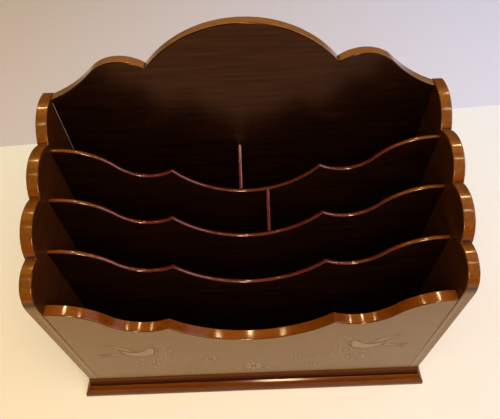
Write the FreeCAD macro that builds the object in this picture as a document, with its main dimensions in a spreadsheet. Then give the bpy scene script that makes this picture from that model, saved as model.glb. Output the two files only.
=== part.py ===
import FreeCAD, Part
import math
import os
import Sketcher

# A desk letter rack in dark polished wood. Two scalloped sides carry a tall arched back, a low front
# with a bird and blossom inlay, and three serpentine dividers that rise in tiers towards the back.
# Two short partitions split the rear slots, and a mitred moulding runs round the foot.
# X runs across the rack, -Y is its front and Z is up. The origin is on the table, under its middle.

SIZES = (
    # the carcase
    ("carcase_width", "284", "over the outer faces of the sides"),
    ("carcase_depth", "136.5", "from the front face to the rear face"),
    ("side_thickness", "8", "thickness of each side"),
    ("wall_thickness", "8", "front panel with its veneer, and back panel"),
    ("veneer_thickness", "0.8", "sawn veneer on the front, and the inlay in it"),
    ("floor_thickness", "6", "floor board between the walls"),
    ("divider_thickness", "3", "each divider"),
    ("partition_thickness", "3", "each short partition"),
    ("housing_depth", "2", "how far a divider enters each side"),
    ("joint_clearance", "0.1", "slack of a divider in its housing"),
    ("edge_bevel", "0.8", "eased arrises of the sides, front and back"),
    ("divider_bevel", "0.9", "eased arrises of the dividers"),
    ("partition_round", "1.2", "rounded top edges of the partitions"),
    # heights at the ends of each panel
    ("front_end_height", "150", "front panel beside the sides, above the table"),
    ("tier_rise", "17.4", "from each panel to the divider behind it"),
    ("back_rise", "19.3", "from the rear divider to the back panel and the sides' rear corners"),
    # serpentine top of the front panel
    ("front_land", "1", "flat at each end"),
    ("front_shoulder_radius", "41.8", "round shoulder"),
    ("front_dip_drop", "31.1", "lowest point of the side dips below the ends"),
    ("front_dip_radius", "30.4", "side dips"),
    ("front_cusp_inset", "76.2", "from each end to the cusp"),
    ("front_hollow_drop", "51.8", "middle hollow below the ends"),
    # serpentine top of the dividers
    ("divider_land", "2.6", "flat at each end"),
    ("divider_shoulder_radius", "50.4", "round shoulder"),
    ("divider_dip_drop", "28.6", "lowest point of the side dips below the ends"),
    ("divider_dip_radius", "29.1", "side dips"),
    ("divider_cusp_inset", "80", "from each end to the cusp"),
    ("divider_hollow_drop", "49.1", "middle hollow below the ends"),
    # arched top of the back panel
    ("back_foot_radius", "100", "hollow sweep at each end"),
    ("back_lobe_inset", "52.1", "from each end to the middle of the lobe"),
    ("back_lobe_rise", "27.5", "top of the lobe above the ends"),
    ("back_lobe_radius", "29.1", "round lobe"),
    ("back_cusp_inset", "69.6", "from each end to the cusp"),
    ("back_arch_rise", "51.1", "top of the arch above the ends"),
    # scallops of the sides: where the lobes meet
    ("front_notch_lead", "12.3", "front notch before the middle of the front divider"),
    ("front_notch_rise", "9", "front notch above the ends of the front divider"),
    ("middle_notch_lead", "7", "middle notch before the middle of the middle divider"),
    ("middle_notch_rise", "9.3", "middle notch above the ends of the middle divider"),
    ("rear_notch_lead", "-1.1", "rear notch before the middle of the rear divider"),
    ("rear_notch_rise", "3.9", "rear notch above the ends of the rear divider"),
    ("lobe_bulge", "9.1", "middle two lobes beyond the line between their notches"),
    ("rear_lobe_bulge", "6.6", "rear lobe beyond the line from its notch to the corner"),
    ("front_round_radius", "20", "front lobe, which runs into the front edge"),
    ("notch_round", "0.6", "left by the saw where two lobes meet"),
    # short partitions
    ("partition_rise", "19", "fall of a partition's top from its back to its front end"),
    ("rear_partition_offset", "-4.5", "rear partition from the middle of the rack"),
    ("middle_partition_offset", "16", "middle partition from the middle of the rack"),
    # base moulding
    ("moulding_height", "25", "from the table"),
    ("moulding_projection", "7.6", "beyond the carcase"),
    ("moulding_lip", "0.5", "flat on its top"),
    ("cove_reach", "1.3", "outer edge of the shallow cove"),
    ("cove_drop", "12", "height of the shallow cove below the top"),
    ("quirk_width", "0.5", "flat between the cove and the ovolo"),
    ("ovolo_drop", "9.5", "height of the round below the flat"),
    ("toe_radius", "2", "round under the moulding's foot"),
    # inlay on the front
    ("stringing_width", "1", "pale line down the front edge of each side"),
    ("stringing_inset", "5.2", "from a side's outer face to its pale line"),
    ("bird_length", "28.5", "from the rump to the tip of the beak; the branches keep in step"),
    ("bird_inset", "46", "from the end of the front to the bird's breast"),
    ("bird_drop", "37", "bird's breast below the side dips"),
    ("upper_blossom_inset", "100", "from the end of the front"),
    ("upper_blossom_drop", "56.5", "below the side dips"),
    ("lower_blossom_inset", "86.5", "from the end of the front"),
    ("lower_blossom_drop", "76", "below the side dips"),
    ("petal_length", "4.2", "petal of a small blossom"),
    ("petal_width", "3.2", "petal of a small blossom"),
    ("middle_petal_length", "7.5", "petal of the middle blossom"),
    ("middle_petal_width", "3.4", "petal of the middle blossom"),
    ("blossom_eye_radius", "1", "disc in the middle of each blossom"),
    ("leaf_length", "8", "each leaf"),
    ("leaf_width", "4", "each leaf"),
    ("stem_width", "0.9", "branch and twig"),
    ("inlay_spacing", "0.5", "ground left between neighbouring inlays"),
)

# Derived distances, as expressions on the sizes.
HALF_WIDTH = "(Sizes.carcase_width / 2)"
HALF_DEPTH = "(Sizes.carcase_depth / 2)"
INNER_HALF = "(Sizes.carcase_width / 2 - Sizes.side_thickness)"
INNER_DEPTH = "(Sizes.carcase_depth - 2 * Sizes.wall_thickness)"
PITCH = f"({INNER_DEPTH} / 4)"
TONGUE = "(Sizes.housing_depth - Sizes.joint_clearance)"
DIVIDER_BEVEL = "min(Sizes.divider_bevel; 0.45 * Sizes.divider_thickness)"
PARTITION_ROUND = "min(Sizes.partition_round; 0.45 * Sizes.partition_thickness)"
WALL_BEVEL = "min(Sizes.edge_bevel; 0.3 * Sizes.wall_thickness)"
SIDE_BEVEL = "min(Sizes.edge_bevel; 0.3 * Sizes.side_thickness)"
REAR_TIER_END = "(Sizes.front_end_height + 3 * Sizes.tier_rise)"
BACK_END = f"({REAR_TIER_END} + Sizes.back_rise)"
FRONT_FIELD_TOP = "(Sizes.front_end_height - Sizes.front_dip_drop)"

# The dividers, from the front: how many pitches behind the front panel, which is also their tier.
DIVIDERS = {"front_divider": 1, "middle_divider": 2, "rear_divider": 3}

# The bird, facing +X, with its back near the origin and as long as DRAWN_LENGTH. Each outline is a list
# of corners, and a corner followed by a second point is the start of an arc through that point.
DRAWN_LENGTH = 28.5
BIRD_BODY = (
    ((-12.5, 6), (-6, -7)),
    ((7, -7.5), (12, -4)),
    ((13, 1), None),
    ((16, 0), None),
    ((13.6, 3.6), (11.2, 7.5)),
    ((7.5, 5.5), (-2, -0.5)),
)
BIRD_WING = (
    ((-1.5, 1.6), (-9, 10)),
    ((-21, 15.5), (-14, 7.5)),
    ((-8.5, 2.6), (-5, 1.6)),
)
BIRD_TAIL = (
    ((-12.2, -0.6), (-21, -1.4)),
    ((-31, -3.4), None),
    ((-21, -3.8), None),
    ((-29.5, -7.4), (-20, -5.8)),
    ((-11.4, -3.4), None),
)
# Three stems in front of the bird, each an arc through three points.
BRANCH = ((6, -43), (19.6, -12), (19.5, 15))
TWIG = ((17.2, -17), (8, -17.8), (-3, -22))
SPRIG = ((20, -25), (27, -22), (32.5, -15))
# The leaves of each stem: how far along it, and on its left (1) or on its right (-1).
STEM_LEAVES = (
    ((0.1, 1), (0.26, 1), (0.52, 1), (0.72, -1), (0.9, 1)),
    ((0.3, 1), (0.65, -1), (0.85, 1)),
    ((0.3, 1), (0.75, -1)),
)
LEAF_LEAN = 50
PETALS = 6
MIDDLE_PETALS = 8
EYE_SIDES = 8
# Directions, in degrees from +X, of the two leaves below the middle blossom; they point between its petals.
MIDDLE_LEAVES = (-22.5, 202.5)

doc = FreeCAD.newDocument("LetterRack")
sheet = doc.addObject("Spreadsheet::Sheet", "Sizes")
for row, (alias, number, note) in enumerate(SIZES, start=1):
    sheet.set(f"A{row}", note)
    sheet.set(f"B{row}", number)
    sheet.setAlias(f"B{row}", alias)
doc.recompute()

TOLERANCE = 1e-4
pieces = []


def value(expression):
    return float(sheet.evalExpression(expression))


def flat(point):
    return FreeCAD.Vector(point[0], point[1], 0)


def middle_of_arc(centre, start, stop):
    """The point halfway along the shorter arc from start to stop."""
    toward = [start[i] + stop[i] - 2 * centre[i] for i in (0, 1)]
    stretch = math.dist(centre, start) / math.hypot(*toward)
    return [centre[i] + stretch * toward[i] for i in (0, 1)]


def origin_plane(body, role):
    return next(feature for feature in body.Origin.OriginFeatures if feature.Role == role)


def new_piece(kind, label):
    piece = doc.addObject(kind, "".join(word.capitalize() for word in label.split("_")))
    piece.Label = label
    pieces.append(piece)
    return piece


def place(piece, x="0", y="0", z="0", turn=0):
    piece.Placement.Rotation = FreeCAD.Rotation(FreeCAD.Vector(0, 0, 1), turn)
    for axis, expression in zip("xyz", (x, y, z)):
        piece.setExpression(f"Placement.Base.{axis}", expression)


class Outline:
    """A closed sketch: edge n runs from corner n to the next, as an arc if `through` has a point for it."""

    def __init__(self, body, name, role, corners, through=(), smooth=(), level=(), plumb=()):
        self.sketch = body.newObject("Sketcher::SketchObject", name)
        self.sketch.AttachmentSupport = [(origin_plane(body, role), "")]
        self.sketch.MapMode = "FlatFace"
        self.ends = []
        for edge, start in enumerate(corners):
            stop = corners[(edge + 1) % len(corners)]
            if edge in through:
                curve = Part.Arc(flat(start), flat(through[edge]), flat(stop))
            else:
                curve = Part.LineSegment(flat(start), flat(stop))
            self.sketch.addGeometry(curve, False)
            forward = self.sketch.getPoint(edge, 1).isEqual(flat(start), TOLERANCE)
            self.ends.append((1, 2) if forward else (2, 1))
        for edge in range(len(corners)):
            before = (edge - 1) % len(corners)
            kind = "Tangent" if edge in smooth else "Coincident"
            self.add(kind, before, self.ends[before][1], edge, self.ends[edge][0])
        for edge in level:
            self.add("Horizontal", edge)
        for edge in plumb:
            self.add("Vertical", edge)

    def add(self, kind, *references):
        return self.sketch.addConstraint(Sketcher.Constraint(kind, *references))

    def corner(self, number):
        return number, self.ends[number][0]

    def at_origin(self, number):
        self.add("Coincident", *self.corner(number), -1, 1)

    def on_axis(self, geometry, position):
        self.add("PointOnObject", geometry, position, -2)

    def measure(self, kind, expression, *references):
        number = self.add(kind, *references, value(expression))
        self.sketch.setExpression(f"Constraints[{number}]", expression)

    def across(self, expression, geometry, position):
        self.measure("DistanceX", expression, -1, 1, geometry, position)

    def up(self, expression, geometry, position):
        self.measure("DistanceY", expression, -1, 1, geometry, position)


def pad(body, outline, length, both_ways=False, backwards=False):
    feature = body.newObject("PartDesign::Pad", "Pad")
    feature.Profile = outline.sketch
    feature.setExpression("Length", length)
    feature.Midplane = both_ways
    feature.Reversed = backwards
    outline.sketch.Visibility = False
    return feature


def mirror(body, original):
    """Make the left half of a piece from its right half."""
    feature = body.newObject("PartDesign::Mirrored", "Mirrored")
    feature.Originals = [original]
    feature.MirrorPlane = (origin_plane(body, "YZ_Plane"), [""])
    body.Tip = feature
    return feature


def top_edges(shape, along, faces=None):
    """Names of the edges along an axis above the foot, on all faces or on those at given depths."""
    across = {"x": "y", "y": "x"}[along]
    names = []
    for number, edge in enumerate(shape.Edges, start=1):
        box = edge.BoundBox
        runs = {"x": box.XLength, "y": box.YLength}
        depth = {"x": box.XMin, "y": box.YMin}[across]
        on_face = faces is None or any(abs(depth - face) < TOLERANCE for face in faces)
        if runs[along] > TOLERANCE and runs[across] < TOLERANCE and box.ZMax > TOLERANCE and on_face:
            names.append(f"Edge{number}")
    return names


def bevel_top(body, size, along, faces=None):
    doc.recompute()
    base = body.Tip
    feature = body.newObject("PartDesign::Chamfer", "Bevel")
    feature.Base = (base, top_edges(base.Shape, along, faces))
    feature.setExpression("Size", size)


def round_top(body, radius, along):
    doc.recompute()
    base = body.Tip
    feature = body.newObject("PartDesign::Fillet", "Rounding")
    feature.Base = (base, top_edges(base.Shape, along))
    feature.setExpression("Radius", radius)


def serpentine(body, half, end, land, shoulder_radius, dip_drop, dip_radius, cusp_inset, hollow_drop):
    """Right half of a panel whose top falls from a flat end by a shoulder to a dip, a cusp and a hollow."""
    half_x, end_z, land_x = value(half), value(end), value(f"{half} - {land}")
    shoulder, drop, dip = value(shoulder_radius), value(dip_drop), value(dip_radius)
    cusp_x = value(f"{half} - {cusp_inset}")
    low_z = end_z - value(hollow_drop)
    shoulder_centre = (land_x, end_z - shoulder)
    dip_x = land_x - math.sqrt(2 * drop * (shoulder + dip) - drop ** 2)
    dip_centre = (dip_x, end_z - drop + dip)
    share = dip / (shoulder + dip)
    turn = [dip_centre[i] + share * (shoulder_centre[i] - dip_centre[i]) for i in (0, 1)]
    cusp = (cusp_x, dip_centre[1] - math.sqrt(dip ** 2 - (cusp_x - dip_x) ** 2))
    sagitta = cusp[1] - low_z
    hollow_centre = (0, low_z + (cusp_x ** 2 + sagitta ** 2) / (2 * sagitta))
    low = (0, low_z)
    corners = ((0, 0), (half_x, 0), (half_x, end_z), (land_x, end_z), turn, cusp, low)
    through = {
        3: middle_of_arc(shoulder_centre, (land_x, end_z), turn),
        4: middle_of_arc(dip_centre, turn, cusp),
        5: middle_of_arc(hollow_centre, cusp, low),
    }
    outline = Outline(
        body, "Outline", "XZ_Plane", corners, through, smooth=(3, 4), level=(0, 2), plumb=(1,))
    outline.at_origin(0)
    outline.across(half, *outline.corner(1))
    outline.up(end, *outline.corner(2))
    outline.across(f"{half} - {land}", *outline.corner(3))
    outline.measure("Radius", shoulder_radius, 3)
    outline.measure("Radius", dip_radius, 4)
    outline.up(f"{end} - {dip_drop} + {dip_radius}", 4, 3)
    outline.across(f"{half} - {cusp_inset}", *outline.corner(5))
    outline.on_axis(5, 3)
    outline.on_axis(*outline.corner(6))
    outline.up(f"{end} - {hollow_drop}", *outline.corner(6))
    return outline


def front_outline(body):
    return serpentine(
        body, INNER_HALF, "Sizes.front_end_height", "Sizes.front_land", "Sizes.front_shoulder_radius",
        "Sizes.front_dip_drop", "Sizes.front_dip_radius", "Sizes.front_cusp_inset",
        "Sizes.front_hollow_drop")


def make_front_panel():
    body = new_piece("PartDesign::Body", "front_panel")
    core = "Sizes.wall_thickness - Sizes.veneer_thickness"
    mirror(body, pad(body, front_outline(body), core, backwards=True))
    bevel_top(body, WALL_BEVEL, "x", [value(core)])
    place(body, y=f"-{HALF_DEPTH} + Sizes.veneer_thickness")


def make_divider(label, tier):
    body = new_piece("PartDesign::Body", label)
    outline = serpentine(
        body, f"({INNER_HALF} + {TONGUE})",
        f"(Sizes.front_end_height + {tier} * Sizes.tier_rise - Sizes.floor_thickness)",
        f"(Sizes.divider_land + {TONGUE})", "Sizes.divider_shoulder_radius", "Sizes.divider_dip_drop",
        "Sizes.divider_dip_radius", f"(Sizes.divider_cusp_inset + {TONGUE})", "Sizes.divider_hollow_drop")
    mirror(body, pad(body, outline, "Sizes.divider_thickness", both_ways=True))
    bevel_top(body, DIVIDER_BEVEL, "x")
    place(body, y=f"-{HALF_DEPTH} + Sizes.wall_thickness + {tier} * {PITCH}", z="Sizes.floor_thickness")


def make_back_panel():
    body = new_piece("PartDesign::Body", "back_panel")
    end = BACK_END
    half_x, end_z = value(INNER_HALF), value(end)
    foot, lobe = value("Sizes.back_foot_radius"), value("Sizes.back_lobe_radius")
    lobe_centre = (half_x - value("Sizes.back_lobe_inset"), end_z + value("Sizes.back_lobe_rise") - lobe)
    corner = (half_x, end_z)
    # the centre of the foot sweep is one radius from the corner and touches the lobe from outside
    span = math.dist(lobe_centre, corner)
    along = (span ** 2 + (lobe + foot) ** 2 - foot ** 2) / (2 * span)
    aside = math.sqrt((lobe + foot) ** 2 - along ** 2)
    unit = [(corner[i] - lobe_centre[i]) / span for i in (0, 1)]
    foot_centre = (
        lobe_centre[0] + along * unit[0] - aside * unit[1],
        lobe_centre[1] + along * unit[1] + aside * unit[0],
    )
    share = lobe / (lobe + foot)
    turn = [lobe_centre[i] + share * (foot_centre[i] - lobe_centre[i]) for i in (0, 1)]
    cusp_x = half_x - value("Sizes.back_cusp_inset")
    cusp = (cusp_x, lobe_centre[1] + math.sqrt(lobe ** 2 - (cusp_x - lobe_centre[0]) ** 2))
    top = (0, end_z + value("Sizes.back_arch_rise"))
    sagitta = top[1] - cusp[1]
    arch_centre = (0, top[1] - (cusp_x ** 2 + sagitta ** 2) / (2 * sagitta))
    through = {
        2: middle_of_arc(foot_centre, corner, turn),
        3: middle_of_arc(lobe_centre, turn, cusp),
        4: middle_of_arc(arch_centre, cusp, top),
    }
    corners = ((0, 0), (half_x, 0), corner, turn, cusp, top)
    outline = Outline(body, "Outline", "XZ_Plane", corners, through, smooth=(3,), level=(0,), plumb=(1,))
    outline.at_origin(0)
    outline.across(INNER_HALF, *outline.corner(1))
    outline.up(end, *outline.corner(2))
    outline.measure("Radius", "Sizes.back_foot_radius", 2)
    outline.measure("Radius", "Sizes.back_lobe_radius", 3)
    outline.across(f"{INNER_HALF} - Sizes.back_lobe_inset", 3, 3)
    outline.up(f"{end} + Sizes.back_lobe_rise - Sizes.back_lobe_radius", 3, 3)
    outline.across(f"{INNER_HALF} - Sizes.back_cusp_inset", *outline.corner(4))
    outline.on_axis(4, 3)
    outline.on_axis(*outline.corner(5))
    outline.up(f"{end} + Sizes.back_arch_rise", *outline.corner(5))
    mirror(body, pad(body, outline, "Sizes.wall_thickness"))
    bevel_top(body, WALL_BEVEL, "x")
    place(body, y=HALF_DEPTH)


def bulge_radius(first, second, bulge):
    """Radius, as an expression, of an arc with a given bulge between two points, each two expressions."""
    chord = f"(({first[0]} - {second[0]})^2 + ({first[1]} - {second[1]})^2)"
    return f"({chord} / 4 + {bulge}^2) / (2 * {bulge})"


def bulge_point(first, second, bulge):
    """The middle of an arc that stands out by bulge to the left of the way from first to second."""
    span = math.dist(first, second)
    return (
        (first[0] + second[0]) / 2 - bulge * (second[1] - first[1]) / span,
        (first[1] + second[1]) / 2 + bulge * (second[0] - first[0]) / span,
    )


def notch_place(name, tier):
    """Where two lobes of a side meet, behind its front edge and above the table, as expressions."""
    return (
        f"(Sizes.wall_thickness + {tier} * {PITCH} - Sizes.{name}_notch_lead)",
        f"(Sizes.front_end_height + {tier} * Sizes.tier_rise + Sizes.{name}_notch_rise)",
    )


def round_notches(body, notches):
    """Ease the edges through a side where its lobes meet, at points from the front edge and the foot."""
    doc.recompute()
    base = body.Tip
    names = []
    for number, edge in enumerate(base.Shape.Edges, start=1):
        spot = edge.Vertexes[0].Point[1:]
        at_notch = any(math.dist(spot, notch) < TOLERANCE for notch in notches)
        if at_notch and edge.BoundBox.XLength > TOLERANCE:
            names.append(f"Edge{number}")
    feature = body.newObject("PartDesign::Fillet", "NotchRounding")
    feature.Base = (base, names)
    feature.setExpression("Radius", "Sizes.notch_round")


def make_side(label, inner_first):
    """A side with housings in its inner face, its first along X or its last, and a line down its front."""
    body = new_piece("PartDesign::Body", label)
    corner = ("Sizes.carcase_depth", BACK_END)
    notches = [notch_place(name, tier) for name, tier in (("rear", 3), ("middle", 2), ("front", 1))]
    bulges = ("Sizes.rear_lobe_bulge", "Sizes.lobe_bulge", "Sizes.lobe_bulge")
    stops = [corner] + notches
    ends = [(value(across), value(up)) for across, up in stops]
    radius = value("Sizes.front_round_radius")
    front_notch = ends[-1]
    round_centre = (radius, front_notch[1] - math.sqrt(radius ** 2 - (front_notch[0] - radius) ** 2))
    touch = (0, round_centre[1])
    corners = [(0, 0), (ends[0][0], 0)] + ends + [touch]
    through = {2 + i: bulge_point(ends[i + 1], ends[i], value(bulge)) for i, bulge in enumerate(bulges)}
    through[5] = middle_of_arc(round_centre, front_notch, touch)
    outline = Outline(body, "Outline", "YZ_Plane", corners, through, smooth=(6,), level=(0,), plumb=(1, 6))
    outline.at_origin(0)
    outline.across("Sizes.carcase_depth", *outline.corner(1))
    outline.up(BACK_END, *outline.corner(2))
    for i, bulge in enumerate(bulges):
        across, up = notches[i]
        outline.across(across, *outline.corner(3 + i))
        outline.up(up, *outline.corner(3 + i))
        outline.measure("Radius", bulge_radius(stops[i], stops[i + 1], bulge), 2 + i)
    outline.measure("Radius", "Sizes.front_round_radius", 5)
    pad(body, outline, "Sizes.side_thickness")
    round_notches(body, ends[1:])
    bevel_top(body, SIDE_BEVEL, "y")
    for divider, tier in DIVIDERS.items():
        cut_housing(body, divider, tier, inner_first)
    line = "Sizes.stringing_inset"
    if inner_first:
        line = "(Sizes.side_thickness - Sizes.stringing_inset - Sizes.stringing_width)"
    cut_groove(body, "stringing_groove", "XZ_Plane", line, f"({line} + Sizes.stringing_width)",
               "Sizes.front_end_height", "Sizes.veneer_thickness")
    outer_at = f"-{HALF_WIDTH}"
    place(body, x=INNER_HALF if inner_first else outer_at, y=f"-{HALF_DEPTH}")


def cut_housing(body, divider, tier, inner_first):
    """A stopped groove in a side's inner face that takes the end of one divider."""
    middle = f"(Sizes.wall_thickness + {tier} * {PITCH})"
    half = "(Sizes.divider_thickness / 2 + Sizes.joint_clearance)"
    top = f"(Sizes.front_end_height + {tier} * Sizes.tier_rise + Sizes.joint_clearance)"
    face = None if inner_first else "Sizes.side_thickness"
    cut_groove(body, f"{divider}_housing", "YZ_Plane", f"({middle} - {half})", f"({middle} + {half})",
               top, "Sizes.housing_depth", face, inner_first)


def cut_groove(body, name, role, first, last, top, depth, face=None, backwards=False):
    """A plumb groove between two places across a face, open at the foot and stopped at its top."""
    left, right, high = value(first), value(last), value(top)
    corners = ((left, 0), (right, 0), (right, high), (left, high))
    outline = Outline(body, name, role, corners, level=(0, 2), plumb=(1, 3))
    outline.add("PointOnObject", *outline.corner(0), -1)
    outline.across(first, *outline.corner(0))
    outline.across(last, *outline.corner(1))
    outline.up(top, *outline.corner(2))
    if face is not None:
        outline.sketch.setExpression("AttachmentOffset.Base.z", face)
    doc.recompute()
    before = body.Tip.Shape.Volume
    feature = body.newObject("PartDesign::Pocket", "Groove")
    feature.Profile = outline.sketch
    feature.setExpression("Length", depth)
    feature.Reversed = backwards
    outline.sketch.Visibility = False
    doc.recompute()
    expected = (right - left) * high * value(depth)
    if abs(before - feature.Shape.Volume - expected) > 0.01 * expected:
        raise RuntimeError(f"{body.Label}: {name} is not cut")


def make_floor_board():
    board = new_piece("Part::Box", "floor_board")
    board.setExpression("Length", f"2 * {INNER_HALF}")
    board.setExpression("Width", INNER_DEPTH)
    board.setExpression("Height", "Sizes.floor_thickness")
    place(board, x=f"-{INNER_HALF}", y=f"-{HALF_DEPTH} + Sizes.wall_thickness")


def make_partition(label, offset, tier, back_face):
    """A short board from one divider back to the next panel; its top falls towards the front."""
    body = new_piece("PartDesign::Body", label)
    front_face = f"({tier} * {PITCH} + Sizes.divider_thickness / 2)"
    length = f"({back_face} - {front_face})"
    divider_end = f"(Sizes.front_end_height + {tier} * Sizes.tier_rise)"
    front_top = f"({divider_end} - Sizes.divider_hollow_drop - Sizes.floor_thickness)"
    back_top = f"({front_top} + Sizes.partition_rise)"
    deep, low, high = value(length), value(front_top), value(back_top)
    corners = ((0, 0), (deep, 0), (deep, high), (0, low))
    outline = Outline(body, "Outline", "YZ_Plane", corners, level=(0,), plumb=(1, 3))
    outline.at_origin(0)
    outline.across(length, *outline.corner(1))
    outline.up(back_top, *outline.corner(2))
    outline.up(front_top, *outline.corner(3))
    pad(body, outline, "Sizes.partition_thickness", both_ways=True)
    round_top(body, PARTITION_ROUND, "y")
    front_at = f"-{HALF_DEPTH} + Sizes.wall_thickness + {front_face}"
    place(body, x=offset, y=front_at, z="Sizes.floor_thickness")


def make_moulding(label, run, turn, x="0", y="0"):
    """One mitred length of base moulding against a wall of length run, facing -Y before it is turned."""
    body = new_piece("PartDesign::Body", label)
    height, reach = value("Sizes.moulding_height"), value("Sizes.moulding_projection")
    lip, cove, drop = value("Sizes.moulding_lip"), value("Sizes.cove_reach"), value("Sizes.cove_drop")
    toe = value("Sizes.toe_radius")
    shelf = height - drop
    quirk = cove + value("Sizes.quirk_width")
    belly = shelf - value("Sizes.ovolo_drop")
    # the cove leaves the lip plumb, the ovolo runs plumb into the face, and so does the toe
    cove_radius = ((cove - lip) ** 2 + drop ** 2) / (2 * (cove - lip))
    ovolo_radius = ((reach - quirk) ** 2 + (shelf - belly) ** 2) / (2 * (reach - quirk))
    corners = (
        (0, 0), (reach - toe, 0), (reach, toe), (reach, belly),
        (quirk, shelf), (cove, shelf), (lip, height), (0, height))
    through = {
        1: middle_of_arc((reach - toe, toe), corners[1], corners[2]),
        3: middle_of_arc((reach - ovolo_radius, belly), corners[3], corners[4]),
        5: middle_of_arc((lip + cove_radius, height), corners[5], corners[6]),
    }
    outline = Outline(body, "Section", "YZ_Plane", [(-u, v) for u, v in corners],
                      {edge: (-u, v) for edge, (u, v) in through.items()},
                      smooth=(1, 2, 3), level=(0, 4, 6), plumb=(2, 7))
    outline.at_origin(0)
    outline.measure("DistanceX", "Sizes.moulding_projection", *outline.corner(2), -1, 1)
    outline.measure("Radius", "Sizes.toe_radius", 1)
    outline.up("Sizes.moulding_height - Sizes.cove_drop - Sizes.ovolo_drop", *outline.corner(3))
    outline.measure("DistanceX", "Sizes.cove_reach + Sizes.quirk_width", *outline.corner(4), -1, 1)
    outline.up("Sizes.moulding_height - Sizes.cove_drop", *outline.corner(4))
    outline.measure("DistanceX", "Sizes.cove_reach", *outline.corner(5), -1, 1)
    outline.measure("DistanceX", "Sizes.moulding_lip", *outline.corner(6), -1, 1)
    outline.up("Sizes.moulding_height", *outline.corner(6))
    outline.measure(
        "Radius", "((Sizes.cove_reach - Sizes.moulding_lip)^2 + Sizes.cove_drop^2)"
        " / (2 * (Sizes.cove_reach - Sizes.moulding_lip))", 5)
    pad(body, outline, f"{run} + 2 * Sizes.moulding_projection", both_ways=True)
    doc.recompute()
    half, out = value(run) / 2, reach
    corners = ((half, 0), (half + out, 0), (half + out, -out))
    mitre = Outline(body, "Mitre", "XY_Plane", corners, level=(0,), plumb=(1,))
    mitre.add("PointOnObject", *mitre.corner(0), -1)
    mitre.across(f"{run} / 2", *mitre.corner(0))
    mitre.across(f"{run} / 2 + Sizes.moulding_projection", *mitre.corner(1))
    mitre.measure("DistanceY", "Sizes.moulding_projection", *mitre.corner(2), -1, 1)
    before = body.Tip.Shape.Volume
    pocket = body.newObject("PartDesign::Pocket", "MitreCut")
    pocket.Profile = mitre.sketch
    pocket.Type = "ThroughAll"
    pocket.Reversed = True
    mitre.sketch.Visibility = False
    doc.recompute()
    if pocket.Shape.Volume > before - TOLERANCE:
        raise RuntimeError(f"{label}: the mitre is not cut")
    mirror(body, pocket)
    place(body, x, y, turn=turn)


def shaped_face(corners):
    """A face in the XZ plane: each corner is followed by a point its arc passes through, or by None."""
    edges = []
    for number, (start, middle) in enumerate(corners):
        stop = corners[(number + 1) % len(corners)][0]
        points = [FreeCAD.Vector(p[0], 0, p[1]) for p in (start, middle, stop) if p is not None]
        curve = Part.Arc(*points) if middle is not None else Part.LineSegment(*points)
        edges.append(curve.toShape())
    return Part.Face(Part.Wire(edges))


def leaf(base, degrees, length, width):
    """A leaf or petal with straight-cut sides, growing from base in a direction."""
    shares = ((0, 0), (0.25, 0.3), (0.55, 0.5), (1, 0), (0.55, -0.5), (0.25, -0.3))
    ahead = (math.cos(math.radians(degrees)), math.sin(math.radians(degrees)))
    corners = []
    for along, aside in shares:
        forward, left = along * length, aside * width
        corner = (
            base[0] + forward * ahead[0] - left * ahead[1],
            base[1] + forward * ahead[1] + left * ahead[0],
        )
        corners.append((corner, None))
    return shaped_face(corners)


def arc_frame(route, share):
    """Point and direction in degrees at a share of the way along an arc through three points."""
    arc = Part.Arc(*[FreeCAD.Vector(p[0], 0, p[1]) for p in route])
    start, stop = arc.FirstParameter, arc.LastParameter
    at = start + share * (stop - start)
    spot, ahead = arc.value(at), arc.tangent(at)[0]
    return (spot.x, spot.z), math.degrees(math.atan2(ahead.z, ahead.x))


def stem(route, width):
    """A thin curved strip of one width along an arc through three points."""
    sides = []
    for side in (1, -1):
        edge = []
        for share in (0, 0.5, 1):
            spot, degrees = arc_frame(route, share)
            aside = math.radians(degrees + 90 * side)
            edge.append((spot[0] + width / 2 * math.cos(aside), spot[1] + width / 2 * math.sin(aside)))
        sides.append(edge)
    (a, b, c), (d, e, f) = sides
    return shaped_face(((a, b), (c, None), (f, e), (d, None)))


def stem_leaves(route, leaves, stem_width):
    """Leaves beside a stem: each at a share of its length, on its left (1) or right (-1) side."""
    length, width = value("Sizes.leaf_length"), value("Sizes.leaf_width")
    away = stem_width / 2 + value("Sizes.inlay_spacing")
    grown = []
    for share, side in leaves:
        spot, degrees = arc_frame(route, share)
        aside = math.radians(degrees + 90 * side)
        base = (spot[0] + away * math.cos(aside), spot[1] + away * math.sin(aside))
        grown.append(leaf(base, degrees + LEAF_LEAN * side, length, width))
    return grown


def inlay(label, faces):
    """Pieces of inlay as thick as the veneer, flush with the front face of the rack."""
    thickness = FreeCAD.Vector(0, value("Sizes.veneer_thickness"), 0)
    piece = new_piece("Part::Feature", label)
    solids = [face.extrude(thickness) for face in faces]
    piece.Shape = solids[0] if len(solids) == 1 else Part.makeCompound(solids)
    place(piece, y=f"-{HALF_DEPTH}", z=FRONT_FIELD_TOP)
    return piece


def scaled(points, factor):
    return tuple(None if point is None else (point[0] * factor, point[1] * factor) for point in points)


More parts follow.
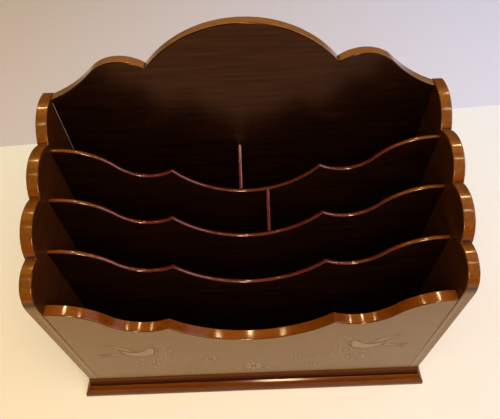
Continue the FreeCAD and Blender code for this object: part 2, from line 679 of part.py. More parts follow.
def make_bird(label, side):
    """A bird beside a leafy branch, facing the middle of the front from the left (-1) or the right (1)."""
    factor = value("Sizes.bird_length") / DRAWN_LENGTH
    move = FreeCAD.Vector(-value(f"{INNER_HALF} - Sizes.bird_inset"), 0, -value("Sizes.bird_drop"))
    stem_width = value("Sizes.stem_width")
    drawn = {}
    for name, outline in (("bird_body", BIRD_BODY), ("bird_wing", BIRD_WING), ("bird_tail", BIRD_TAIL)):
        drawn[name] = [shaped_face([scaled(corner, factor) for corner in outline])]
    drawn["branch"], drawn["leaves"] = [], []
    for points, leaves in zip((BRANCH, TWIG, SPRIG), STEM_LEAVES):
        route = scaled(points, factor)
        drawn["branch"].append(stem(route, stem_width))
        drawn["leaves"] += stem_leaves(route, leaves, stem_width)
    made = []
    for name, faces in drawn.items():
        placed = [face.translated(move) for face in faces]
        if side > 0:
            placed = [face.mirror(FreeCAD.Vector(), FreeCAD.Vector(1, 0, 0)) for face in placed]
        made.append(inlay(f"{label}_{name}", placed))
    return made


def ring_of_leaves(centre, ring, directions, length, width):
    """Leaves or petals that point away from a centre and start on a ring round it."""
    faces = []
    for degrees in directions:
        ahead = (math.cos(math.radians(degrees)), math.sin(math.radians(degrees)))
        base = (centre[0] + ring * ahead[0], centre[1] + ring * ahead[1])
        faces.append(leaf(base, degrees, length, width))
    return faces


def eye_face(centre, radius):
    corners = []
    for number in range(EYE_SIDES):
        turn = math.radians(360 * number / EYE_SIDES)
        corners.append(((centre[0] + radius * math.cos(turn), centre[1] + radius * math.sin(turn)), None))
    return shaped_face(corners)


def make_blossoms():
    """Small blossoms in pairs and a larger one in the middle, with two leaves: petals round an eye."""
    eye, spacing = value("Sizes.blossom_eye_radius"), value("Sizes.inlay_spacing")
    upper = value(f"{INNER_HALF} - Sizes.upper_blossom_inset"), -value("Sizes.upper_blossom_drop")
    lower = value(f"{INNER_HALF} - Sizes.lower_blossom_inset"), -value("Sizes.lower_blossom_drop")
    middle = (0, lower[1])
    blossoms = [((side * x, z), PETALS, "petal") for x, z in (upper, lower) for side in (-1, 1)]
    blossoms.append((middle, MIDDLE_PETALS, "middle_petal"))
    petals, eyes = [], []
    for centre, count, size in blossoms:
        length, width = value(f"Sizes.{size}_length"), value(f"Sizes.{size}_width")
        turns = [90 + 360 * number / count for number in range(count)]
        petals += ring_of_leaves(centre, eye + spacing, turns, length, width)
        eyes.append(eye_face(centre, eye))
    ring = eye + spacing + value("Sizes.middle_petal_length")
    leaves = ring_of_leaves(
        middle, ring, MIDDLE_LEAVES, value("Sizes.leaf_length"), value("Sizes.leaf_width"))
    return [inlay("blossom_petals", petals), inlay("blossom_leaves", leaves), inlay("blossom_eyes", eyes)]


def make_stringing(label, x):
    strip = new_piece("Part::Box", label)
    strip.setExpression("Length", "Sizes.stringing_width")
    strip.setExpression("Width", "Sizes.veneer_thickness")
    strip.setExpression("Height", "Sizes.front_end_height")
    place(strip, x=x, y=f"-{HALF_DEPTH}")


def make_front_veneer(inlays):
    """The ground veneer of the front, with a window sawn for every inlay."""
    blank = doc.addObject("PartDesign::Body", "VeneerBlank")
    mirror(blank, pad(blank, front_outline(blank), "Sizes.veneer_thickness", backwards=True))
    place(blank, y=f"-{HALF_DEPTH}")
    windows = doc.addObject("Part::Compound", "Windows")
    windows.Links = inlays
    veneer = new_piece("Part::Cut", "front_veneer")
    veneer.Base = blank
    veneer.Tool = windows


make_side("left_side", inner_first=False)
make_side("right_side", inner_first=True)
make_back_panel()
make_front_panel()
make_floor_board()
for name, tier in DIVIDERS.items():
    make_divider(name, tier)
make_partition("middle_partition", "Sizes.middle_partition_offset", 2,
               f"(3 * {PITCH} - Sizes.divider_thickness / 2)")
make_partition("rear_partition", "Sizes.rear_partition_offset", 3, INNER_DEPTH)
make_moulding("front_moulding", "Sizes.carcase_width", 0, y=f"-{HALF_DEPTH}")
make_moulding("right_moulding", "Sizes.carcase_depth", 90, x=HALF_WIDTH)
make_moulding("rear_moulding", "Sizes.carcase_width", 180, y=HALF_DEPTH)
make_moulding("left_moulding", "Sizes.carcase_depth", 270, x=f"-{HALF_WIDTH}")
make_stringing("left_stringing", f"-{HALF_WIDTH} + Sizes.stringing_inset")
make_stringing("right_stringing", f"{HALF_WIDTH} - Sizes.stringing_inset - Sizes.stringing_width")
make_front_veneer(make_bird("left", -1) + make_bird("right", 1) + make_blossoms())
doc.recompute()

for item in doc.Objects:
    if "Invalid" in item.State or "Error" in item.State:
        raise RuntimeError(f"{item.Name} did not recompute")
for piece in pieces:
    if piece.Shape.isNull() or not piece.Shape.isValid():
        raise RuntimeError(f"{piece.Label} has no valid shape")

os.makedirs("parts", exist_ok=True)
for piece in pieces:
    piece.Shape.exportStep(f"parts/{piece.Label}.step")
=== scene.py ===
import math

import bmesh
import bpy
from mathutils import Matrix, Vector


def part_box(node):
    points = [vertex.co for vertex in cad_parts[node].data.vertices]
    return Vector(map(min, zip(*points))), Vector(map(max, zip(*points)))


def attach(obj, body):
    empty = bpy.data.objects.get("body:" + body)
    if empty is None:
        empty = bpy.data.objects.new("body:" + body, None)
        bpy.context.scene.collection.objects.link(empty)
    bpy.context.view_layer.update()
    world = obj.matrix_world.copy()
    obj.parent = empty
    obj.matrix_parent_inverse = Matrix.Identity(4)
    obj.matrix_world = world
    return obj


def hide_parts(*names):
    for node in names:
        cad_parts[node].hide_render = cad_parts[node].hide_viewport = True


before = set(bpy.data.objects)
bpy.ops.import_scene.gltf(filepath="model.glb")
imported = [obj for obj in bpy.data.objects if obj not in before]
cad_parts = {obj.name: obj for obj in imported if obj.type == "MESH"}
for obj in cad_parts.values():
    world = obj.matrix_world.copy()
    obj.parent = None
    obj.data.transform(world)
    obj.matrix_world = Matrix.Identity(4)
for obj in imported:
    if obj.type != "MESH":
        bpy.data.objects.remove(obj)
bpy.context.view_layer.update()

# Sizes in millimetres, the same as the solids have

MM = 0.001
CARCASE_WIDTH = 284
CARCASE_DEPTH = 136.5
SIDE_THICKNESS = 8
WALL_THICKNESS = 8
DIVIDER_THICKNESS = 3
FLOOR_THICKNESS = 6
TONGUE = 1.9
FRONT_END_HEIGHT = 150
TIER_RISE = 17.4
BACK_RISE = 19.3
PARTITION_RISE = 19
MIDDLE_PARTITION_X = 16
REAR_PARTITION_X = -4.5
HOLLOW_DROP = 49.1
MOULDING_HEIGHT = 25
MOULDING_PROJECTION = 7.6

HALF_DEPTH = CARCASE_DEPTH / 2
INNER_HALF = CARCASE_WIDTH / 2 - SIDE_THICKNESS
PITCH = (CARCASE_DEPTH - 2 * WALL_THICKNESS) / 4
BACK_END = FRONT_END_HEIGHT + 3 * TIER_RISE + BACK_RISE

# How finely the meshes are made, how their edges are rounded, and how their edge tone is spread, with
# lengths in millimetres; the edge tone is part rubbed wood and part painted light on tops that face up,
# with painted shade at notches, on the front's rounding and in the moulding's cove, and a painted highlight
# line in one corner

STEP = 1.0
ROUND_STEPS = 4
EDGE_ROUND = 0.9
THIN_ROUND = 1.2
HIDDEN_ROUND = 0.05
HIDDEN_BELOW = 40
SHARP_ANGLE = math.radians(38)
MOULDING_SHARP_ANGLE = math.radians(30)
ROUNDED_LIFT = (-0.25, 0.1)
WEAR_AND_LIGHT_LIFT = (0.05, 0.5)
BOARD_WEAR_AND_LIGHT = (0.8, 1)
FRONT_WEAR_AND_LIGHT = (0.45, 0.95)
THIN_WEAR_AND_LIGHT = (0.1, 0.75)
NOTCH_TURN = math.radians(25)
NOTCH_SHADE = (0.3, 1.4)
LIP_TONE = 0.8
QUIRK_WIDTH = 0.9
QUIRK_DEPTH = 2
GLINT_WIDTH = 0.36
GLINT_TOP_DROP = 3
GLINT_HIDDEN = 40
INLAY_PROUD = 0.02
LINE_PROUD = 0.01
BIRD_LINE = 0.5
FLOWER_LINE = 0.42
TOUCH = 0.001
FACES_FRONT = 0.8


def tier_end(tier):
    return FRONT_END_HEIGHT + tier * TIER_RISE


def tier_depth(tier):
    return -HALF_DEPTH + WALL_THICKNESS + tier * PITCH


# Outlines

def arc(centre, start, stop):
    """Points from start to stop along the shorter arc round centre, without the last one."""
    radius = math.dist(centre, start)
    first = math.atan2(start[1] - centre[1], start[0] - centre[0])
    turn = math.atan2(stop[1] - centre[1], stop[0] - centre[0]) - first
    turn = (turn + math.pi) % (2 * math.pi) - math.pi
    count = max(3, round(abs(turn) * radius / STEP))
    angles = [first + turn * number / count for number in range(count)]
    return [(centre[0] + radius * math.cos(a), centre[1] + radius * math.sin(a)) for a in angles]


def mirrored_top(right_half, foot):
    """A closed outline from the right half of its top, given from the right end to the middle."""
    left_half = [(-x, z) for x, z in reversed(right_half[:-1])]
    top = right_half + left_half
    return [(top[-1][0], foot), (top[0][0], foot)] + top


def serpentine(half, end, foot, land, shoulder, drop, dip, cusp_inset, hollow_drop):
    """A board whose top falls from flat ends over round shoulders to dips, cusps and a middle hollow."""
    land_x, cusp_x = half - land, half - cusp_inset
    low = (0, end - hollow_drop)
    shoulder_centre = (land_x, end - shoulder)
    dip_x = land_x - math.sqrt(2 * drop * (shoulder + dip) - drop ** 2)
    dip_centre = (dip_x, end - drop + dip)
    share = dip / (shoulder + dip)
    turn = [dip_centre[i] + share * (shoulder_centre[i] - dip_centre[i]) for i in (0, 1)]
    cusp = (cusp_x, dip_centre[1] - math.sqrt(dip ** 2 - (cusp_x - dip_x) ** 2))
    sagitta = cusp[1] - low[1]
    hollow_centre = (0, low[1] + (cusp_x ** 2 + sagitta ** 2) / (2 * sagitta))
    top = [(half, end)]
    top += arc(shoulder_centre, (land_x, end), turn)
    top += arc(dip_centre, turn, cusp)
    top += arc(hollow_centre, cusp, low)
    return mirrored_top(top + [low], foot)


def front_outline():
    return serpentine(
        half=INNER_HALF, end=FRONT_END_HEIGHT, foot=0, land=1,
        shoulder=41.8, drop=31.1, dip=30.4, cusp_inset=76.2, hollow_drop=51.8)


def divider_outline(tier):
    return serpentine(
        half=INNER_HALF + TONGUE, end=tier_end(tier), foot=FLOOR_THICKNESS, land=2.6 + TONGUE,
        shoulder=50.4, drop=28.6, dip=29.1, cusp_inset=80 + TONGUE, hollow_drop=HOLLOW_DROP)


def back_outline():
    """A middle arch between two lobes, whose hollow feet sweep out to the corners."""
    foot_radius, lobe_radius = 100, 29.1
    lobe_inset, lobe_rise = 52.1, 27.5
    cusp_inset, arch_rise = 69.6, 51.1
    corner = (INNER_HALF, BACK_END)
    lobe_centre = (INNER_HALF - lobe_inset, BACK_END + lobe_rise - lobe_radius)
    reach = lobe_radius + foot_radius
    span = math.dist(lobe_centre, corner)
    along = (span ** 2 + reach ** 2 - foot_radius ** 2) / (2 * span)
    aside = math.sqrt(reach ** 2 - along ** 2)
    across, up = [(corner[i] - lobe_centre[i]) / span for i in (0, 1)]
    foot_centre = (
        lobe_centre[0] + along * across - aside * up,
        lobe_centre[1] + along * up + aside * across)
    share = lobe_radius / reach
    turn = [lobe_centre[i] + share * (foot_centre[i] - lobe_centre[i]) for i in (0, 1)]
    cusp_x = INNER_HALF - cusp_inset
    cusp = (cusp_x, lobe_centre[1] + math.sqrt(lobe_radius ** 2 - (cusp_x - lobe_centre[0]) ** 2))
    top = (0, BACK_END + arch_rise)
    sagitta = top[1] - cusp[1]
    arch_centre = (0, top[1] - (cusp_x ** 2 + sagitta ** 2) / (2 * sagitta))
    half = arc(foot_centre, corner, turn)
    half += arc(lobe_centre, turn, cusp)
    half += arc(arch_centre, cusp, top)
    return mirrored_top(half + [top], 0)


def lobe(start, stop, bulge):
    """A round lobe that stands out by bulge above the line from start down to stop."""
    chord = math.dist(start, stop)
    radius = (chord ** 2 / 4 + bulge ** 2) / (2 * bulge)
    middle = [(start[i] + stop[i]) / 2 for i in (0, 1)]
    back = [(stop[1] - start[1]) / chord, (start[0] - stop[0]) / chord]
    centre = [middle[i] - (radius - bulge) * back[i] for i in (0, 1)]
    return arc(centre, start, stop)


def side_outline():
    """In Y and Z: stepped lobes that fall from the rear corner to the front edge."""
    front, rear = -HALF_DEPTH + INLAY_PROUD, HALF_DEPTH
    rear_bulge, bulge, front_radius = 6.6, 9.1, 20
    corner = (rear, BACK_END)
    rear_notch = (tier_depth(3) + 1.1, tier_end(3) + 3.9)
    middle_notch = (tier_depth(2) - 7, tier_end(2) + 9.3)
    front_notch = (tier_depth(1) - 12.3, tier_end(1) + 9)
    reach = front_notch[0] - front - front_radius
    round_centre = (front + front_radius, front_notch[1] - math.sqrt(front_radius ** 2 - reach ** 2))
    touch = (front, round_centre[1])
    top = lobe(corner, rear_notch, rear_bulge)
    top += lobe(rear_notch, middle_notch, bulge)
    top += lobe(middle_notch, front_notch, bulge)
    top += arc(round_centre, front_notch, touch)
    return [(front, 0), (rear, 0)] + top + [touch]


def partition_outline(tier, back):
    """In Y and Z: a short board whose top falls to the hollow of the divider before it."""
    front = tier_depth(tier) + DIVIDER_THICKNESS / 2
    low = tier_end(tier) - HOLLOW_DROP
    return [(front, FLOOR_THICKNESS), (back, FLOOR_THICKNESS), (back, low + PARTITION_RISE), (front, low)]


# Mesh building

def inward(outline):
    """For each corner of an anticlockwise outline, the step that moves both its edges in by one."""
    steps = []
    for number, here in enumerate(outline):
        normals = []
        for start, stop in ((outline[number - 1], here), (here, outline[(number + 1) % len(outline)])):
            length = math.dist(start, stop)
            normals.append(((start[1] - stop[1]) / length, (stop[0] - start[0]) / length))
        (ax, az), (bx, bz) = normals
        share = 1 / (1 + ax * bx + az * bz)
        steps.append(((ax + bx) * share, (az + bz) * share))
    return steps


def notches(outline):
    """The corners of an anticlockwise outline that are sharp notches."""
    found = []
    for number, here in enumerate(outline):
        before, after = outline[number - 1], outline[(number + 1) % len(outline)]
        coming = math.atan2(here[1] - before[1], here[0] - before[0])
        going = math.atan2(after[1] - here[1], after[0] - here[0])
        turn = (going - coming + math.pi) % (2 * math.pi) - math.pi
        if turn < -NOTCH_TURN:
            found.append(here)
    return found


def smooth(low, high, x):
    """From nothing at low to one at high, with soft ends."""
    x = min(1, max(0, (x - low) / (high - low)))
    return x * x * (3 - 2 * x)


def finish_mesh(name, bm, tones=None, sharp=SHARP_ANGLE):
    """Turn a bmesh into a smooth shaded piece that rides on the rack."""
    bmesh.ops.recalc_face_normals(bm, faces=bm.faces)
    mesh = bpy.data.meshes.new(name)
    bm.to_mesh(mesh)
    bm.free()
    mesh.polygons.foreach_set("use_smooth", [True] * len(mesh.polygons))
    mesh.set_sharp_from_angle(angle=sharp)
    if tones is not None:
        mesh.attributes.new("edge", "FLOAT", "POINT").data.foreach_set("value", tones)
    piece = bpy.data.objects.new(name, mesh)
    bpy.context.scene.collection.objects.link(piece)
    shade = piece.modifiers.new("face normals", "WEIGHTED_NORMAL")
    shade.keep_sharp = True
    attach(piece, "root")
    return piece


def top_tones(outline, steps):
    """For each corner, how much of the top's rounding and how much of its edge tone it has, from 0 to 1;
    the edge tone is part rubbed wood and part painted light, strongest where the top faces up, and fades
    near notches as painted shade.
    """
    tops, worn_and_lit = [], []
    for corner, step in zip(outline, steps):
        lift = -step[1] / math.hypot(*step)
        top = smooth(*ROUNDED_LIFT, lift) if corner[1] > HIDDEN_BELOW else 0
        tops.append(top)
        worn_and_lit.append(top * smooth(*WEAR_AND_LIGHT_LIFT, lift))
    # Painted shade: the edge tone fades out near each notch, where two lobes meet.
    for notch in notches(outline):
        shades = [smooth(*NOTCH_SHADE, math.dist(corner, notch)) for corner in outline]
        worn_and_lit = [tone * shade for tone, shade in zip(worn_and_lit, shades)]
    return tops, worn_and_lit


def wall_faces(bm, first, second):
    """Faces from each corner of one ring to the same corner of another."""
    for number in range(len(first)):
        after = (number + 1) % len(first)
        bm.faces.new((first[number], first[after], second[after], second[number]))


def plate(name, outline, thickness, rounding, place, wear_and_light=BOARD_WEAR_AND_LIGHT):
    """A board with rounded arrises along its top; place maps outline and depth to the rack."""
    steps = inward(outline)
    tops, worn_and_lit = top_tones(outline, steps)
    rings = []
    for face, sense in ((0, 1), (thickness, -1)):
        stack = []
        for number in range(ROUND_STEPS + 1):
            angle = math.pi / 2 * number / ROUND_STEPS
            ring = []
            for corner, step, top, tone in zip(outline, steps, tops, worn_and_lit):
                own = HIDDEN_ROUND + (rounding - HIDDEN_ROUND) * top
                inset, depth = own * (1 - math.sin(angle)), own * (1 - math.cos(angle))
                spot = (corner[0] + step[0] * inset, corner[1] + step[1] * inset)
                # The edge tone fades over the rounding from the part that faces up to the side, so tops
                # that face up take the most painted light.
                ring.append((spot, face + sense * depth, tone * smooth(*wear_and_light, math.sin(angle))))
            stack.append(ring)
        rings += stack if sense > 0 else reversed(stack)
    bm = bmesh.new()
    made, tones = [], []
    for ring in rings:
        made.append([bm.verts.new(Vector(place(*spot, depth)) * MM) for spot, depth, _ in ring])
        tones += [tone for _, _, tone in ring]
    for lower, upper in zip(made, made[1:]):
        wall_faces(bm, lower, upper)
    bm.faces.new(reversed(made[0]))
    bm.faces.new(made[-1])
    return finish_mesh(name, bm, tones)


def facing_front(y):
    return lambda u, v, depth: (u, y + depth, v)


def facing_left(x):
    return lambda u, v, depth: (x + depth, u, v)


def moulding_section():
    """Outwards and up: toe, plumb face, ovolo, quirk, shallow cove and lip, then the back."""
    reach, height = MOULDING_PROJECTION, MOULDING_HEIGHT
    toe, lip, cove = 2, 0.5, 1.3
    drop, ovolo_drop = 12, 9.5
    shelf, quirk = height - drop, cove + QUIRK_WIDTH
    belly = shelf - ovolo_drop
    ovolo = ((reach - quirk) ** 2 + (shelf - belly) ** 2) / (2 * (reach - quirk))
    hollow = ((cove - lip) ** 2 + drop ** 2) / (2 * (cove - lip))
    section = [(0, 0)]
    section += arc((reach - toe, toe), (reach - toe, 0), (reach, toe)) + [(reach, toe)]
    section += arc((reach - ovolo, belly), (reach, belly), (quirk, shelf)) + [(quirk, shelf)]
    section += [(quirk, shelf - QUIRK_DEPTH), (cove, shelf - QUIRK_DEPTH)]
    tones = [1] * len(section)
    section += arc((lip + hollow, height), (cove, shelf), (lip, height)) + [(lip, height), (0, height)]
    # The cove is painted in shade: its tone is nothing where it meets the quirk and rises to LIP_TONE at
    # the lip, while toe, ovolo and quirk take the full tone.
    tones += [LIP_TONE * (up - shelf) / drop for _, up in section[len(tones):]]
    return section, tones


def moulding(name, run, wall, turn):
    """One mitred length of base moulding, made for the front and turned to its wall."""
    section, tones = moulding_section()
    rotation = Matrix.Rotation(math.radians(turn), 3, "Z")
    bm = bmesh.new()
    ends = []
    for sense in (-1, 1):
        spots = [Vector((sense * (run / 2 + out), -wall - out, up)) for out, up in section]
        ends.append([bm.verts.new(rotation @ spot * MM) for spot in spots])
    left, right = ends
    wall_faces(bm, left, right)
    bm.faces.new(left)
    bm.faces.new(reversed(right))
    return finish_mesh(name, bm, tones * 2, MOULDING_SHARP_ANGLE)


def rim_edges(mesh, front):
    """The two ends of each edge that runs round the faces of a mesh on its front plane."""
    counts = {}
    for face in mesh.polygons:
        if any(abs(mesh.vertices[corner].co.y - front) >= TOUCH * MM for corner in face.vertices):
            continue
        for edge in face.edge_keys:
            ends = [tuple(round(number, 6) for number in mesh.vertices[end].co) for end in edge]
            key = tuple(sorted(ends))
            counts[key] = counts.get(key, 0) + 1
    return [ends for ends, count in counts.items() if count == 1]


def inlay_lines(name, nodes, width):
    """Thin dark saw lines round the inlay, along the outlines of its faces."""
    bm = bmesh.new()
    rise = Vector((0, -LINE_PROUD * MM, 0))
    for node in nodes:
        for ends in rim_edges(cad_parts[node].data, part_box(node)[0].y):
            start, stop = (Vector(end) for end in ends)
            if (stop - start).length < TOUCH * MM:
                continue
            along = (stop - start).normalized() * width / 2 * MM
            aside = Vector((-along.z, 0, along.x))
            first, last = start - along + rise, stop + along + rise
            corners = [first + aside, last + aside, last - aside, first - aside]
            bm.faces.new([bm.verts.new(corner) for corner in corners])
    return finish_mesh(name, bm)


def corner_glint(name, x, width):
    """A thin pale line of painted highlight in the corner of a side and the back, from near the top into
    the rear slot, where light catches along the joint.
    """
    back = HALF_DEPTH - WALL_THICKNESS
    corners = [(x, back), (x, back - width), (x + width, back)]
    bm = bmesh.new()
    low, high = [
        [bm.verts.new(Vector((*corner, z)) * MM) for corner in corners]
        for z in (tier_end(3) - GLINT_HIDDEN, BACK_END - GLINT_TOP_DROP)]
    wall_faces(bm, low, high)
    bm.faces.new(low)
    bm.faces.new(high)
    return finish_mesh(name, bm)


# Materials

class Nodes:
    """A node material that is built up round one Principled shader."""

    def __init__(self, name):
        self.material = bpy.data.materials.new(name)
        self.material.use_nodes = True
        self.tree = self.material.node_tree
        self.shader = self.tree.nodes["Principled BSDF"]

    def add(self, kind, **settings):
        node = self.tree.nodes.new(kind)
        for key, setting in settings.items():
            setattr(node, key, setting)
        return node

    def link(self, output, socket):
        self.tree.links.new(output, socket)

    def set(self, **sockets):
        for key, number in sockets.items():
            self.shader.inputs[key.replace("_", " ")].default_value = number

    def noise(self, stretch, scale, detail=6, distortion=0.0):
        """Noise stretched along the grain, in the rack's own coordinates."""
        place = self.add("ShaderNodeTexCoord")
        mapping = self.add("ShaderNodeMapping")
        mapping.inputs["Scale"].default_value = stretch
        texture = self.add("ShaderNodeTexNoise")
        texture.inputs["Scale"].default_value = scale
        texture.inputs["Detail"].default_value = detail
        texture.inputs["Distortion"].default_value = distortion
        self.link(place.outputs["Object"], mapping.inputs["Vector"])
        self.link(mapping.outputs["Vector"], texture.inputs["Vector"])
        return texture.outputs["Fac"]

    def ramp(self, factor, *stops):
        node = self.add("ShaderNodeValToRGB")
        elements = node.color_ramp.elements
        while len(elements) < len(stops):
            elements.new(0.5)
        for element, (position, colour) in zip(elements, stops):
            element.position = position
            element.color = (*colour, 1)
        self.link(factor, node.inputs["Fac"])
        return node.outputs["Color"]

    def two_tones(self, figure, tones):
        """From the dark to the light tone of a wood, as its figure goes."""
        dark, light = tones
        return self.ramp(figure, (0.3, dark), (0.7, light))

    def mix(self, factor, first, second):
        node = self.add("ShaderNodeMix", data_type="RGBA")
        self.link(factor, node.inputs[0])
        self.link(first, node.inputs[6])
        self.link(second, node.inputs[7])
        return node.outputs[2]

    def range(self, factor, low, high, start=0.0, stop=1.0):
        node = self.add("ShaderNodeMapRange")
        node.inputs["From Min"].default_value = start
        node.inputs["From Max"].default_value = stop
        node.inputs["To Min"].default_value = low
        node.inputs["To Max"].default_value = high
        self.link(factor, node.inputs["Value"])
        return node.outputs["Result"]

    def bump(self, factor, strength, distance):
        node = self.add("ShaderNodeBump")
        node.inputs["Strength"].default_value = strength
        node.inputs["Distance"].default_value = distance
        self.link(factor, node.inputs["Height"])
        self.link(node.outputs["Normal"], self.shader.inputs["Normal"])

    def edge_tone(self):
        node = self.add("ShaderNodeAttribute", attribute_name="edge")
        return node.outputs["Fac"]

    def end_tone(self):
        """From nothing over the middle of the rack to one beside its sides."""
        place = self.add("ShaderNodeTexCoord")
        split = self.add("ShaderNodeSeparateXYZ")
        size = self.add("ShaderNodeMath", operation="ABSOLUTE")
        self.link(place.outputs["Object"], split.inputs["Vector"])
        self.link(split.outputs["X"], size.inputs[0])
        return self.range(size.outputs[0], 0, 1, *END_ZONE)


# Grain and polish, and where tones change, in metres

FINE = 22
ALONG_X = (1, FINE, FINE)
ALONG_Y = (FINE, 1, FINE)
ALONG_Z = (FINE, FINE, 1)
FIGURE_SCALE = 22
PORE_SCALE = 16
PORES_ACROSS = 8
PORES_ALONG = 4
AMBER = (1, 0.42, 0.2)
DEEP_AMBER = (0.66, 0.27, 0.12)
GLOSS = 0.12
POLISH_IOR = 1.5
ARRIS_SHADE_TONE = 0.5
END_ZONE = (0.09, 0.118)
DRIFT_ACROSS = (-0.4, 0.4)
DRIFT_DEEP = (-0.02, 0.28)


def polished_wood(
        name, grain, faces, edges=None, ends=None, arris_shade=None,
        polish=0.1, edge_polish=1.0, sheen=0.14, rough=0.3):
    """Polished wood, with tones of its own for its edges, part rubbed wood and part painted light, for
    their ends, and a painted shade on the rounding between the top edge and the face.
    """
    nodes = Nodes(name)
    pore_grain = tuple(step * (PORES_ACROSS if step > 1 else PORES_ALONG) for step in grain)
    figure = nodes.noise(grain, FIGURE_SCALE, detail=8, distortion=0.6)
    pores = nodes.noise(pore_grain, PORE_SCALE, detail=3)
    dark, light = faces
    middle = tuple((a + b) / 2 for a, b in zip(dark, light))
    colour = nodes.ramp(figure, (0.3, dark), (0.55, middle), (0.75, light))
    glow = nodes.ramp(figure, (0.35, DEEP_AMBER), (0.65, AMBER))
    nodes.link(glow, nodes.shader.inputs["Specular Tint"])
    nodes.set(IOR=POLISH_IOR, Specular_IOR_Level=sheen)
    nodes.set(Coat_Weight=polish, Coat_Roughness=GLOSS, Coat_IOR=POLISH_IOR)
    if edges is not None:
        worn_and_lit = nodes.two_tones(figure, edges)
        if ends is not None:
            worn_and_lit = nodes.mix(nodes.end_tone(), worn_and_lit, nodes.two_tones(figure, ends))
        tone = nodes.edge_tone()
        worn_and_lit_from = 0
        # Painted shade: the middle of the rounding, between the face and the lit top, is painted dark.
        if arris_shade is not None:
            worn_and_lit_from = ARRIS_SHADE_TONE
            arris_shade_share = nodes.range(tone, 0, 1, 0, worn_and_lit_from)
            colour = nodes.mix(arris_shade_share, colour, nodes.two_tones(figure, arris_shade))
        colour = nodes.mix(nodes.range(tone, 0, 1, worn_and_lit_from, 1), colour, worn_and_lit)
        nodes.link(nodes.range(tone, polish, edge_polish), nodes.shader.inputs["Coat Weight"])
    nodes.link(colour, nodes.shader.inputs["Base Color"])
    nodes.link(nodes.range(pores, rough, 1.6 * rough), nodes.shader.inputs["Roughness"])
    nodes.bump(pores, strength=0.06, distance=0.0004)
    return nodes.material


def inlay_wood(name, grain, dark, light, polish=0.58):
    """Fine plain wood for inlay, or what fills a line, with as much polish as it has."""
    nodes = Nodes(name)
    figure = nodes.noise(grain, 60, detail=6, distortion=0.4)
    nodes.link(nodes.two_tones(figure, (dark, light)), nodes.shader.inputs["Base Color"])
    nodes.link(nodes.range(figure, low=0.25, high=0.4), nodes.shader.inputs["Roughness"])
    nodes.set(IOR=POLISH_IOR, Specular_IOR_Level=0.15)
    nodes.set(Coat_Weight=polish, Coat_Roughness=0.08, Coat_IOR=POLISH_IOR)
    return nodes.material


def stage_surface(name, near, far):
    """A matt surface whose tone drifts from left to right, and from near to far."""
    nodes = Nodes(name)
    place = nodes.add("ShaderNodeTexCoord")
    split = nodes.add("ShaderNodeSeparateXYZ")
    nodes.link(place.outputs["Object"], split.inputs["Vector"])
    across = nodes.range(split.outputs["X"], 0, 1, *DRIFT_ACROSS)
    deep = nodes.range(split.outputs["Y"], 0, 1, *DRIFT_DEEP)
    tones = [nodes.ramp(across, (0, left), (1, right)) for left, right in (near, far)]
    nodes.link(nodes.mix(deep, *tones), nodes.shader.inputs["Base Color"])
    nodes.set(Roughness=0.9, Specular_IOR_Level=0.1)
    return nodes.material


# The dark and the light tone of each wood

ROSEWOOD = ((0.003, 0.0008, 0.0003), (0.011, 0.0028, 0.0009))
SIDE_ROSEWOOD = ((0.036, 0.009, 0.0018), (0.08, 0.022, 0.0045))
FADED_ROSEWOOD = ((0.121, 0.05, 0.001), (0.156, 0.069, 0.0024))
# The edge tones go on tops that face up: part rubbed wood, part painted light.
FRONT_EDGE = ((0.118, 0.0235, 0.0003), (0.182, 0.04, 0.0006))
GOLDEN_EDGE = ((0.192, 0.071, 0.014), (0.288, 0.111, 0.026))
SIDE_EDGE = ((0.105, 0.03, 0.0001), (0.165, 0.047, 0.0002))
END_EDGE = ((0.105, 0.024, 0.0003), (0.162, 0.039, 0.0006))
RED_EDGE = ((0.055, 0.006, 0.003), (0.11, 0.013, 0.005))
# A painted shade for the rounding between the front's top edge and its face.
ARRIS_SHADE = ((0.008, 0.002, 0.002), (0.02, 0.005, 0.004))
# Painted shade in the moulding's cove, darkest where it meets the quirk.
COVE_SHADE = ((0.024, 0.004, 0.0004), (0.05, 0.0095, 0.0008))
OVOLO = ((0.068, 0.0132, 0.0003), (0.134, 0.0315, 0.0006))
FLOOR = ((0.03, 0.014, 0.008), (0.07, 0.034, 0.018))

back_wood = polished_wood(
    "rosewood back", ALONG_X, ROSEWOOD, GOLDEN_EDGE, polish=0.03, sheen=0.46, rough=0.14)
front_wood = polished_wood(
    "rosewood front", ALONG_X, FADED_ROSEWOOD, FRONT_EDGE, arris_shade=ARRIS_SHADE, polish=0.58, edge_polish=0.6)
side_wood = polished_wood(
    "rosewood sides", ALONG_Y, SIDE_ROSEWOOD, SIDE_EDGE, edge_polish=0.75, sheen=0.28)
divider_wood = polished_wood("divider wood", ALONG_X, ROSEWOOD, RED_EDGE, END_EDGE)
partition_wood = polished_wood("partition wood", ALONG_Z, ROSEWOOD, RED_EDGE)
moulding_wood = polished_wood(
    "moulding wood", ALONG_X, COVE_SHADE, OVOLO, polish=0, edge_polish=0.4, sheen=0.02)
end_wood = polished_wood(
    "end moulding wood", ALONG_Y, COVE_SHADE, OVOLO, polish=0, edge_polish=0.4, sheen=0.02)
floor_wood = polished_wood("floor wood", ALONG_X, FLOOR, polish=0.2)
boxwood = inlay_wood("boxwood inlay", ALONG_X, (0.165, 0.092, 0.014), (0.22, 0.127, 0.025))
holly = inlay_wood("holly inlay", ALONG_X, (0.25, 0.155, 0.038), (0.34, 0.225, 0.065))
satinwood = inlay_wood("satinwood inlay", ALONG_X, (0.155, 0.072, 0.006), (0.2, 0.095, 0.012))
stained_wood = inlay_wood("stained inlay", ALONG_Z, (0.18, 0.095, 0.014), (0.24, 0.13, 0.026))
